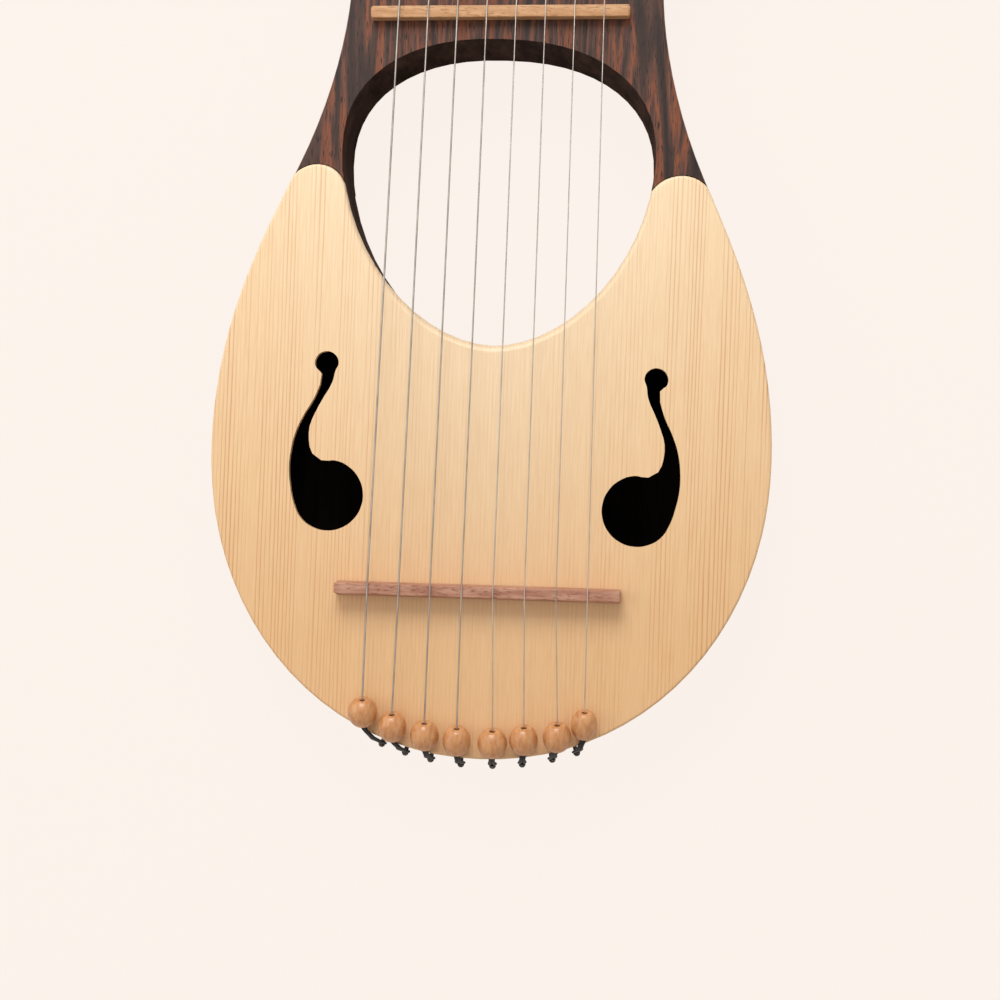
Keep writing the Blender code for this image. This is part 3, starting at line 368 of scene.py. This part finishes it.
def turnedBeadWood():
    # Light hardwood, turned and polished on the lathe: rings of warm brown under a clear gloss
    made, tree, shader, place = newMaterial("hardwoodTurnedAndPolished", beadLook["polished"])
    drawn = addNode(tree, "ShaderNodeMapping", {"Scale": beadLook["drawnOut"]}, {"Vector": place}).outputs[0]
    ring = addNode(tree, "ShaderNodeTexNoise", {
        "Scale": grains(beadLook["figureMm"]), "Detail": 4.0, "Distortion": 0.4,
    }, {"Vector": drawn})
    wood = addNode(tree, "ShaderNodeValToRGB", {}, {0: ring.outputs[0]}, beadLook["figure"]).outputs[0]
    tree.links.new(wood, shader.inputs["Base Color"])
    bump = addNode(tree, "ShaderNodeBump", {
        "Strength": 0.12, "Distance": 0.0001,
    }, {"Height": ring.outputs[0]})
    tree.links.new(bump.outputs[0], shader.inputs["Normal"])
    return made


# Metals and cord

roughnessSpread = 0.08  # how far worn spots of a metal differ from its roughness


def steel(name, look):
    # Steel wire or bar: drawn string wire is bright, plated pins are whiter, blackened screws nearly black.
    # A wound string's wrap is finer than the picture can show, so its ridges are drawn wider than they are.
    made, tree, shader, place = newMaterial(name, {"Metallic": 1.0})
    worn = addNode(tree, "ShaderNodeTexNoise", {
        "Scale": grains(look["wearMm"]), "Detail": 2.0,
    }, {"Vector": place}).outputs[0]
    stops = ((0.35, look["dark"]), (0.65, look["light"]))
    metal = addNode(tree, "ShaderNodeValToRGB", {}, {0: worn}, stops).outputs[0]
    tree.links.new(metal, shader.inputs["Base Color"])
    rough = addNode(tree, "ShaderNodeMapRange", {
        "To Min": look["roughness"] - roughnessSpread, "To Max": look["roughness"] + roughnessSpread,
    }, {"Value": worn}).outputs[0]
    tree.links.new(rough, shader.inputs["Roughness"])
    height = worn
    if look.get("ridgeMm"):
        height = addNode(tree, "ShaderNodeTexWave", {
            "bands_direction": "Y", "Scale": bands(look["ridgeMm"]),
        }, {"Vector": place}).outputs[1]
    bump = addNode(tree, "ShaderNodeBump", {
        "Strength": look["relief"], "Distance": 0.0001,
    }, {"Height": height})
    tree.links.new(bump.outputs[0], shader.inputs["Normal"])
    return made


plainWire = {"wearMm": 9.0, "dark": "#A19C95", "light": "#B5B1AA", "roughness": 0.40, "relief": 0.02}
woundWire = {
    "wearMm": 9.0, "dark": "#918C85", "light": "#A8A39C", "roughness": 0.46, "relief": 0.12, "ridgeMm": 0.5,
}
platedPin = {"wearMm": 1.5, "dark": "#A9A8A6", "light": "#CFCDCA", "roughness": 0.24, "relief": 0.05}
blackScrew = {"wearMm": 0.8, "dark": "#2A2A2B", "light": "#5A5958", "roughness": 0.38, "relief": 0.15}

cordLook = {
    "strandMm": 0.7, "leanDegrees": 38, "shadeBetweenStrands": "#08090A", "hump": "#1B1D1F",
    "dyed": {"Roughness": 0.82, "Sheen Weight": 0.15},
}


def braidedCord():
    # Polyester cord, braided and dyed black: matt, with the crossing strands as small diagonal humps, and
    # painted shade darkening the dips between them
    made, tree, shader, place = newMaterial("polyesterBraidedBlack", cordLook["dyed"])
    humps = []
    for side in (1, -1):
        lean = (math.radians(side * cordLook["leanDegrees"]),) * 3
        leaned = addNode(tree, "ShaderNodeMapping", {"Rotation": lean}, {"Vector": place}).outputs[0]
        hump = addNode(tree, "ShaderNodeTexWave", {"Scale": bands(cordLook["strandMm"])}, {"Vector": leaned})
        humps.append(hump.outputs[1])
    height = addNode(tree, "ShaderNodeMath", {"operation": "MAXIMUM"}, {0: humps[0], 1: humps[1]}).outputs[0]
    # Painted shade: the dips between the strands are coloured darker than the strands' tops
    stops = ((0.2, cordLook["shadeBetweenStrands"]), (1.0, cordLook["hump"]))
    dyeAndShade = addNode(tree, "ShaderNodeValToRGB", {}, {0: height}, stops).outputs[0]
    tree.links.new(dyeAndShade, shader.inputs["Base Color"])
    bump = addNode(tree, "ShaderNodeBump", {"Strength": 0.6, "Distance": 0.0001}, {"Height": height})
    tree.links.new(bump.outputs[0], shader.inputs["Normal"])
    return made


rosewood = rosewoodOiled()
insideShade, boreShade, handHoleWallShade = paintedShadeWood(insideLook), paintedShadeWood(boreLook), paintedShadeWood(wallLook)
spruce = spruceWood("spruceSatinLacquer", spruceLook, True)
sprucePlaned = spruceWood("sprucePlanedBar", spruceLook, False)
beech = fleckedBar(beechLook)
bridgeWood = fleckedBar(bridgeLook)
beadWood = turnedBeadWood()
pinSteel = steel("steelNickelPlated", platedPin)
plainSteel = steel("steelDrawnWire", plainWire)
woundSteel = steel("steelWoundWire", woundWire)
screwSteel = steel("steelBlackened", blackScrew)
cordBraid = braidedCord()
print("materials made")


# Pieces

meshing = {  # metres and degrees
    "sameCorner": 0.000002, "sameCutterCorner": 0.00001, "sameCutCorner": 0.00002,
    "flatWithin": 0.3, "woodEdge": 34, "ringEdge": 40, "pinEdge": 28,
    "joinFaces": 40, "joinShape": 60,
}


def dress(name, data, material, body, node):
    piece = bpy.data.objects.new(name, data)
    bpy.context.scene.collection.objects.link(piece)
    data.materials.clear()
    data.materials.append(material)
    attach(piece, body)
    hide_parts(node)
    return piece


def smoothMesh(name, work, sharpDegrees):
    mesh = bpy.data.meshes.new(name)
    work.to_mesh(mesh)
    work.free()
    if "custom_normal" in mesh.attributes:
        mesh.attributes.remove(mesh.attributes["custom_normal"])
    mesh.shade_smooth()
    mesh.set_sharp_from_angle(angle=math.radians(sharpDegrees))
    return mesh


def joinedSurface(node):
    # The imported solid's own surface with its corners joined, ready to be smoothed
    work = bmesh.new()
    work.from_mesh(frame["nodes"][node].data)
    bmesh.ops.remove_doubles(work, verts=work.verts, dist=meshing["sameCorner"])
    return work


def shapedWood(node, material, work=None):
    # A shaped wooden piece: flat faces stay flat and the rounded edges shade as one curve
    work = work or joinedSurface(node)
    flat = math.radians(meshing["flatWithin"])
    bmesh.ops.dissolve_limit(work, angle_limit=flat, verts=work.verts, edges=work.edges)
    bmesh.ops.triangulate(work, faces=[face for face in work.faces if len(face.verts) > 4])
    mesh = smoothMesh(node + "Wood", work, meshing["woodEdge"])
    piece = dress("wood_" + node, mesh, material, "instrument", node)
    normals = piece.modifiers.new("flatFaces", "WEIGHTED_NORMAL")
    normals.keep_sharp = True
    return piece


def roundedPiece(node, material, name):
    # A small round piece, subdivided so that its sides run smooth
    work = joinedSurface(node)
    face, shape = math.radians(meshing["joinFaces"]), math.radians(meshing["joinShape"])
    bmesh.ops.join_triangles(work, faces=work.faces, angle_face_threshold=face, angle_shape_threshold=shape)
    piece = dress(name, smoothMesh(name, work, 180), material, "instrument", node)
    fine = piece.modifiers.new("round", "SUBSURF")
    fine.levels = fine.render_levels = 2
    return piece


def ringsMesh(name, rings, sharpDegrees, chained=False):
    # Skin over rings of equally many points: capped at both ends, or joined last to first round a bore
    work = bmesh.new()
    rows = [[work.verts.new(point) for point in ring] for ring in rings]
    pairs = list(zip(rows, rows[1:] + rows[:1])) if chained else list(zip(rows, rows[1:]))
    for low, high in pairs:
        for i in range(len(low)):
            j = (i + 1) % len(low)
            work.faces.new((low[i], low[j], high[j], high[i]))
    if not chained:
        work.faces.new(list(reversed(rows[0])))
        work.faces.new(rows[-1])
    bmesh.ops.recalc_face_normals(work, faces=work.faces)
    return smoothMesh(name, work, sharpDegrees)


def roundTube(name, radius):
    curve = bpy.data.curves.new(name, "CURVE")
    curve.dimensions = "3D"
    curve.bevel_depth = radius
    curve.bevel_resolution = 3
    curve.use_fill_caps = True
    return curve


def wire(name, points, radius, swell=None):
    # A round wire through its points, thicker where swell says so
    curve = roundTube(name, radius)
    run = curve.splines.new("POLY")
    run.points.add(len(points) - 1)
    for i, point in enumerate(points):
        run.points[i].co = (*point, 1)
        run.points[i].radius = swell[i] if swell else 1.0
    return curve


def softLine(curve, points, closed=False, radii=None):
    # A line that runs smoothly through its points
    line = curve.splines.new("BEZIER")
    line.bezier_points.add(len(points) - 1)
    line.use_cyclic_u = closed
    for k, spot in enumerate(line.bezier_points):
        spot.co = points[k]
        spot.radius = radii[k] if radii else 1.0
        spot.handle_left_type = spot.handle_right_type = "AUTO"


# Note-shaped sound holes, cut once more along a smooth line through the same points

note = {  # bigTurn and smallTurn: first, last and step of the two rounds' stations, in degrees
    "length": 0.0566, "bigRadius": 0.0152, "smallRadius": 0.0051,
    "innerEdge": (
        (-0.0064, 0.0178), (-0.0079, 0.0238), (-0.0075, 0.0297), (-0.0051, 0.0354),
        (-0.0010, 0.0427), (0.0024, 0.0486),
    ),
    "outerEdge": (
        (-0.0030, 0.0476), (-0.0059, 0.0411), (-0.0100, 0.0346), (-0.0136, 0.0272),
        (-0.0158, 0.0190), (-0.0166, 0.0110), (-0.0160, 0.0035), (-0.0146, -0.0035),
    ),
    "places": {-1: (-0.0692, -0.0876, 2.4), 1: (0.0636, -0.0898, 6.2)},  # x, y, outward lean in degrees
    "depth": (0.040, 0.047), "bigTurn": (-140, 100, 24), "smallTurn": (-45, 243, 48),
}


def roundStations(radius, up, turn):
    first, last, step = turn
    angles = [math.radians(angle) for angle in range(first, last + 1, step)]
    return [(radius * math.cos(angle), up + radius * math.sin(angle)) for angle in angles]


def noteStations():
    big = roundStations(note["bigRadius"], 0, note["bigTurn"])
    small = roundStations(note["smallRadius"], note["length"], note["smallTurn"])
    return big + list(note["innerEdge"]) + small + list(note["outerEdge"])


def noteCutter(side):
    x, y, lean = note["places"][side]
    turn = math.radians(lean)
    curve = bpy.data.curves.new("noteLine", "CURVE")
    curve.dimensions, curve.fill_mode, curve.resolution_u = "2D", "BOTH", 8
    curve.extrude = (note["depth"][1] - note["depth"][0]) / 2
    points = []
    for across, up in noteStations():
        out = -across * math.cos(turn) + up * math.sin(turn)
        points.append((x + side * out, y + up * math.cos(turn) + across * math.sin(turn), 0))
    softLine(curve, points, closed=True)
    drawn = bpy.data.objects.new("noteLine", curve)
    bpy.context.scene.collection.objects.link(drawn)
    mesh = bpy.data.meshes.new_from_object(drawn.evaluated_get(bpy.context.evaluated_depsgraph_get()))
    bpy.data.objects.remove(drawn)
    work = bmesh.new()
    work.from_mesh(mesh)
    bmesh.ops.remove_doubles(work, verts=work.verts, dist=meshing["sameCutterCorner"])
    bmesh.ops.translate(work, verts=work.verts, vec=(0, 0, sum(note["depth"]) / 2))
    bmesh.ops.recalc_face_normals(work, faces=work.faces)
    work.to_mesh(mesh)
    work.free()
    cutter = bpy.data.objects.new("noteCutter", mesh)
    bpy.context.scene.collection.objects.link(cutter)
    return cutter


def boardWithNotes():
    work = joinedSurface("soundboard")
    mesh = bpy.data.meshes.new("boardBlank")
    work.to_mesh(mesh)
    work.free()
    blank = bpy.data.objects.new("boardBlank", mesh)
    bpy.context.scene.collection.objects.link(blank)
    cutters = [noteCutter(side) for side in note["places"]]
    for cutter in cutters:
        hole = blank.modifiers.new("note", "BOOLEAN")
        hole.operation, hole.solver, hole.object = "DIFFERENCE", "EXACT", cutter
    work = bmesh.new()
    cut = blank.evaluated_get(bpy.context.evaluated_depsgraph_get())
    work.from_mesh(bpy.data.meshes.new_from_object(cut))
    for thing in (blank, *cutters):
        bpy.data.objects.remove(thing, do_unlink=True)
    bmesh.ops.remove_doubles(work, verts=work.verts, dist=meshing["sameCutCorner"])
    return work


handHole = {"middle": (-0.001, 0.045), "reach": 0.080}
framePiece = shapedWood("frame", rosewood)
# The hand hole's upright walls get dark painted shade
framePiece.data.materials.append(handHoleWallShade)
for face in framePiece.data.polygons:
    inward = Vector(handHole["middle"]) - face.center.xy
    upright = abs(face.normal.z) < steepest and fitGap < face.center.z < faceHeight - fitGap
    if upright and inward.length < handHole["reach"] and face.normal.xy.dot(inward) > 0:
        face.material_index = 1
shapedWood("soundboard", spruce, boardWithNotes())
plate = shapedWood("back_plate", rosewood)
# The back plate's inner face, seen through the sound holes, gets near-black painted shade
plate.data.materials.append(insideShade)
for face in plate.data.polygons:
    if face.center.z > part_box("back_plate")[1].z - fitGap:
        face.material_index = 1
for node in ("brace_upper", "brace_lower", "tail_block"):
    shapedWood(node, sprucePlaned)
shapedWood("nut", beech)
shapedWood("bridge", bridgeWood)
print("wooden pieces dressed")


# Beads

beadShape = {
    "length": 0.0118, "endRadius": 0.0032, "tiltDegrees": 24.0, "sides": 40, "steps": 18,
    "bore": 0.0012, "boreChamfer": 0.0003, "pocket": 0.0026, "shoulder": 0.0012, "packedSides": 14,
}
tilt = math.radians(beadShape["tiltDegrees"])
beadAxis = Vector((0, math.cos(tilt), math.sin(tilt)))


def beadMiddle(i):
    low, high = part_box("bead_%d" % i)
    return (low + high) / 2


def beadMesh(i):
    low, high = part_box("bead_%d" % i)
    radius = (high.x - low.x) / 2 / math.cos(math.pi / beadShape["packedSides"])
    half, chamfer, bore = beadShape["length"] / 2, beadShape["boreChamfer"], beadShape["bore"]
    stretch = half / math.sqrt(1 - (beadShape["endRadius"] / radius) ** 2)
    profile = [(beadShape["pocket"], beadShape["shoulder"]), (beadShape["pocket"], -half + chamfer)]
    for k in range(beadShape["steps"] + 1):
        z = -half * math.cos(math.pi * k / beadShape["steps"])
        profile.append((radius * math.sqrt(1 - (z / stretch) ** 2), z))
    profile += [(bore + chamfer, half), (bore, half - chamfer), (bore, beadShape["shoulder"])]
    place = Matrix.Translation(beadMiddle(i)) @ beadAxis.to_track_quat("Z", "Y").to_matrix().to_4x4()
    rings = []
    for r, z in profile:
        turns = [2 * math.pi * k / beadShape["sides"] for k in range(beadShape["sides"])]
        rings.append([place @ Vector((r * math.cos(t), r * math.sin(t), z)) for t in turns])
    mesh = ringsMesh("bead%d" % i, rings, meshing["ringEdge"], chained=True)
    mesh.materials.append(beadWood)
    # The faces of the bore get near-black painted shade
    mesh.materials.append(boreShade)
    for face in mesh.polygons:
        arm = face.center - beadMiddle(i)
        if (arm - beadAxis * arm.dot(beadAxis)).length < bore + chamfer / 2:
            face.material_index = 1
    return mesh


# Tail cords: two strands side by side, over the board's edge and round the neck of a screw

cordShape = {
    "radius": 0.00072, "fullShare": 1.2, "tightShare": 0.76,
    "strandsApart": (0.00068, 0.00068, 0.00068, 0.00098),
    "startInBead": -0.0030, "pastMouth": 0.0004,
    "overRise": 0.00048, "overOut": 0.00092, "neckShare": 0.35, "neckBulge": 0.0004,
    "onScrew": 0.0032, "roundScrew": 0.00146, "loopDegrees": (-35, 5, 45, 90, 135, 175, 215),
    "screwInWood": 0.0105, "screwSides": 8,
}


def screwPlace(i):
    # Foot of the screw on the side of the bowl, and the way that it points out
    work = joinedSurface("hitch_screw_%d" % i)
    corners = sorted((vert.co.copy() for vert in work.verts), key=lambda corner: -corner.y)
    work.free()
    point = sum(corners[:cordShape["screwSides"]], Vector()) / cordShape["screwSides"]
    out = (sum(corners, Vector()) / len(corners) - point).normalized()
    return point + out * cordShape["screwInWood"], out


def cordCurve(i):
    shape = cordShape
    foot, out = screwPlace(i)
    across, up = Vector((-out.y, out.x, 0)), Vector((0, 0, 1))
    mouth = beadMiddle(i) - beadAxis * (beadShape["length"] / 2 + shape["pastMouth"])
    loop = foot + out * shape["onScrew"]
    over = foot.lerp(mouth, 0.5)
    over.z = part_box("soundboard")[1].z + shape["overRise"]
    over += out * (shape["overOut"] - (over - foot).dot(out))
    neck = over.lerp(loop, shape["neckShare"]) + out * shape["neckBulge"]
    middle = [beadMiddle(i) + beadAxis * shape["startInBead"], mouth, over, neck]
    strands = [
        [spot + across * side * apart for spot, apart in zip(middle, shape["strandsApart"])]
        for side in (-1, 1)
    ]
    bend = []
    for degrees in shape["loopDegrees"]:
        turn = math.radians(degrees)
        bend.append(loop - (across * math.cos(turn) + up * math.sin(turn)) * shape["roundScrew"])
    curve = roundTube("cord%d" % i, shape["radius"])
    curve.resolution_u = 6
    ends = [1.0] * (len(middle) - 1) + [shape["fullShare"]]
    radii = ends + [shape["tightShare"]] * len(bend) + ends[::-1]
    softLine(curve, strands[0] + bend + strands[1][::-1], radii=radii)
    return curve


for i in range(1, stringCount + 1):
    dress("turned_bead_%d" % i, beadMesh(i), beadWood, "instrument", "bead_%d" % i)
    dress("braided_cord_%d" % i, cordCurve(i), cordBraid, "instrument", "tail_cord_%d" % i)
    roundedPiece("hitch_screw_%d" % i, screwSteel, "round_screw_%d" % i)
print("beads, cords and screws made")


# Tuning pins, windings and strings

pinShape = {
    "radius": 0.00245, "inWood": 0.0200, "above": 0.0210, "square": 0.0038, "squareFrom": 0.0125,
    "shoulder": 0.0020, "sides": 32,
    "bore": 0.00075, "boreHeight": 0.0086, "boreSides": 20, "drillReach": 0.004,
    "foot": (0.001, 0.75),  # length of its taper, and share of the radius at its end
    "top": ((0.0008, 0.98), (0.0003, 0.90), (0, 0.70)),  # depth below the top, and share of the radius there
}
windingShape = {
    "turns": 2.5, "climb": 0.5, "pitch": 0.0013, "startHeight": 0.0018, "wrapDegrees": 200.0, "points": 32,
    "bendFrom": 0.11, "bendOut": 0.0007, "bendIn": 0.0004, "bendSteps": 8, "endPastPin": 0.0010,
}
stringShape = {
    "diameters": (0.00080, 0.00075, 0.00070, 0.00065, 0.00055, 0.00050, 0.00045, 0.00045),
    "woundStrings": 4,
    "nutMiddle": -0.0019, "nutPitch": 0.01247, "nutSlantDegrees": 2.1,
    "bridgeMiddle": -0.0029, "bridgePitch": 0.01334, "bridgeSlantDegrees": 0.3,
    "ballRadius": 0.0019, "ballLength": 0.0030, "ballEdge": 0.0004, "ballEndShare": 0.8, "ballStep": 0.00002,
    "wrapSteps": 24, "beforeBead": 0.0008, "insideBead": 0.0010,
}


def pinPlace(i):
    joint = next(j for j in frame["joints"] if j["child"] == "pin_%d" % i)
    return Vector((joint["pos_m"][0], joint["pos_m"][1], faceHeight))


def pinRings(place):
    # Round in the wood, square above, with the square's corners left round as on a drawn bar
    low, square = -pinShape["inWood"], pinShape["squareFrom"]
    taper, footShare = pinShape["foot"]
    sections = [
        (low, footShare, 0), (low + taper, 1, 0), (square - pinShape["shoulder"], 1, 0), (square, 1, 1),
    ]
    sections += [(pinShape["above"] - down, share, 1) for down, share in pinShape["top"]]
    rings = []
    for z, size, squareness in sections:
        ring = []
        for k in range(pinShape["sides"]):
            turn = 2 * math.pi * (k + 0.5) / pinShape["sides"]
            c, s = math.cos(turn), math.sin(turn)
            reach = pinShape["radius"] * size
            flat = min(reach, pinShape["square"] / 2 * size / max(abs(c), abs(s)))
            reach += (flat - reach) * squareness
            ring.append(place + Vector((reach * c, reach * s, z)))
        rings.append(ring)
    return rings


def roundPin(place, degrees, radius, height):
    turn = math.radians(degrees)
    return place + Vector((radius * math.cos(turn), radius * math.sin(turn), height))


boreDegrees = 180 - windingShape["wrapDegrees"] - 360 * (windingShape["turns"] + windingShape["climb"])


def tuningPin(i):
    # The cross hole is cut and kept in the pin's own mesh
    place, name = pinPlace(i), "square_head_pin_%d" % i
    blank = ringsMesh(name + "Blank", pinRings(place), meshing["pinEdge"])
    solid = bpy.data.objects.new(name + "Blank", blank)
    turn = math.radians(boreDegrees)
    run = Vector((math.cos(turn), math.sin(turn), 0))
    centre = place + Vector((0, 0, pinShape["boreHeight"]))
    side = run.cross(Vector((0, 0, 1)))
    rings = []
    for along in (-pinShape["drillReach"], pinShape["drillReach"]):
        ring = []
        for k in range(pinShape["boreSides"]):
            around = 2 * math.pi * k / pinShape["boreSides"]
            away = side * math.cos(around) + Vector((0, 0, math.sin(around)))
            ring.append(centre + run * along + away * pinShape["bore"])
        rings.append(ring)
    drill = bpy.data.objects.new(name + "Drill", ringsMesh(name + "Drill", rings, meshing["ringEdge"]))
    for thing in (solid, drill):
        bpy.context.scene.collection.objects.link(thing)
    hole = solid.modifiers.new("crossHole", "BOOLEAN")
    hole.operation, hole.solver, hole.object = "DIFFERENCE", "EXACT", drill
    done = bpy.data.meshes.new_from_object(solid.evaluated_get(bpy.context.evaluated_depsgraph_get()))
    for thing in (solid, drill):
        bpy.data.objects.remove(thing, do_unlink=True)
    done.set_sharp_from_angle(angle=math.radians(meshing["pinEdge"]))
    return dress(name, done, pinSteel, "pin_%d" % i, "tuning_pin_%d" % i)


def windingPoints(i, radius):
    # Turns side by side up the pin, then a quicker climb and a bend into the cross hole
    place, start = pinPlace(i), 180 - windingShape["wrapDegrees"]
    turns, pitch, climb = windingShape["turns"], windingShape["pitch"], windingShape["climb"]
    low = windingShape["startHeight"] + pitch
    high, top = low + pitch * turns, pinShape["boreHeight"]
    around = pinShape["radius"] + fitGap + radius
    points, total = [], turns + climb
    for k in range(round((total - windingShape["bendFrom"]) * windingShape["points"]) + 1):
        turn = k / windingShape["points"]
        share = max(0.0, turn - turns) / climb
        z = low + pitch * turn if turn <= turns else high + (top - high) * (share + share ** 2 * (1 - share))
        points.append(roundPin(place, start - 360 * turn, around, min(z, top)))
    first = points[-1]
    corner = roundPin(place, boreDegrees, around + windingShape["bendOut"], top)
    last = roundPin(place, boreDegrees, around - windingShape["bendIn"], top)
    for k in range(1, windingShape["bendSteps"] + 1):
        t = k / windingShape["bendSteps"]
        points.append(first * (1 - t) ** 2 + corner * 2 * t * (1 - t) + last * t * t)
    return points + [roundPin(place, boreDegrees, -pinShape["radius"] - windingShape["endPastPin"], top)]


def barHeightAt(node, x, slantDegrees):
    low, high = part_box(node)
    middle = (low + high) / 2
    return middle.y + (x - middle.x) * math.tan(math.radians(slantDegrees)), high.z


def stringPath(i, radius):
    # Round its pin, over the nut and the bridge, and through its bead to the ball end
    fromMiddle = i - 1 - (stringCount - 1) / 2
    points, around = [], pinShape["radius"] + fitGap + radius
    for k in range(stringShape["wrapSteps"] + 1):
        degrees = 180 - windingShape["wrapDegrees"] * (1 - k / stringShape["wrapSteps"])
        points.append(roundPin(pinPlace(i), degrees, around, windingShape["startHeight"]))
    for node in ("nut", "bridge"):
        x = stringShape[node + "Middle"] + fromMiddle * stringShape[node + "Pitch"]
        y, z = barHeightAt(node, x, stringShape[node + "SlantDegrees"])
        points.append(Vector((x, y, z + fitGap + radius)))
    centre, half, top = beadMiddle(i), beadShape["length"] / 2, beadShape["shoulder"] - fitGap
    points += [centre + beadAxis * (half + stringShape["beforeBead"])]
    points += [centre + beadAxis * (half - stringShape["insideBead"]), centre + beadAxis * top]
    swell = [1.0] * len(points)
    ball, length = stringShape["ballRadius"] / radius, stringShape["ballLength"]
    edge, endShare = stringShape["ballEdge"], stringShape["ballEndShare"]
    for down, size in ((0, endShare), (edge, 1), (length - edge, 1), (length, endShare)):
        points.append(centre + beadAxis * (top - stringShape["ballStep"] - down))
        swell.append(ball * size)
    return points, swell


for i, diameter in enumerate(stringShape["diameters"], 1):
    tuningPin(i)
    metal = woundSteel if i <= stringShape["woundStrings"] else plainSteel
    points, swell = stringPath(i, diameter / 2)
    name = "music_wire_%d" % i
    dress(name, wire(name, points, diameter / 2, swell), metal, "instrument", "string_%d" % i)
    name = "wire_on_pin_%d" % i
    turns = wire(name, windingPoints(i, diameter / 2), diameter / 2)
    dress(name, turns, metal, "pin_%d" % i, "string_winding_%d" % i)
print("pins, windings and strings made")
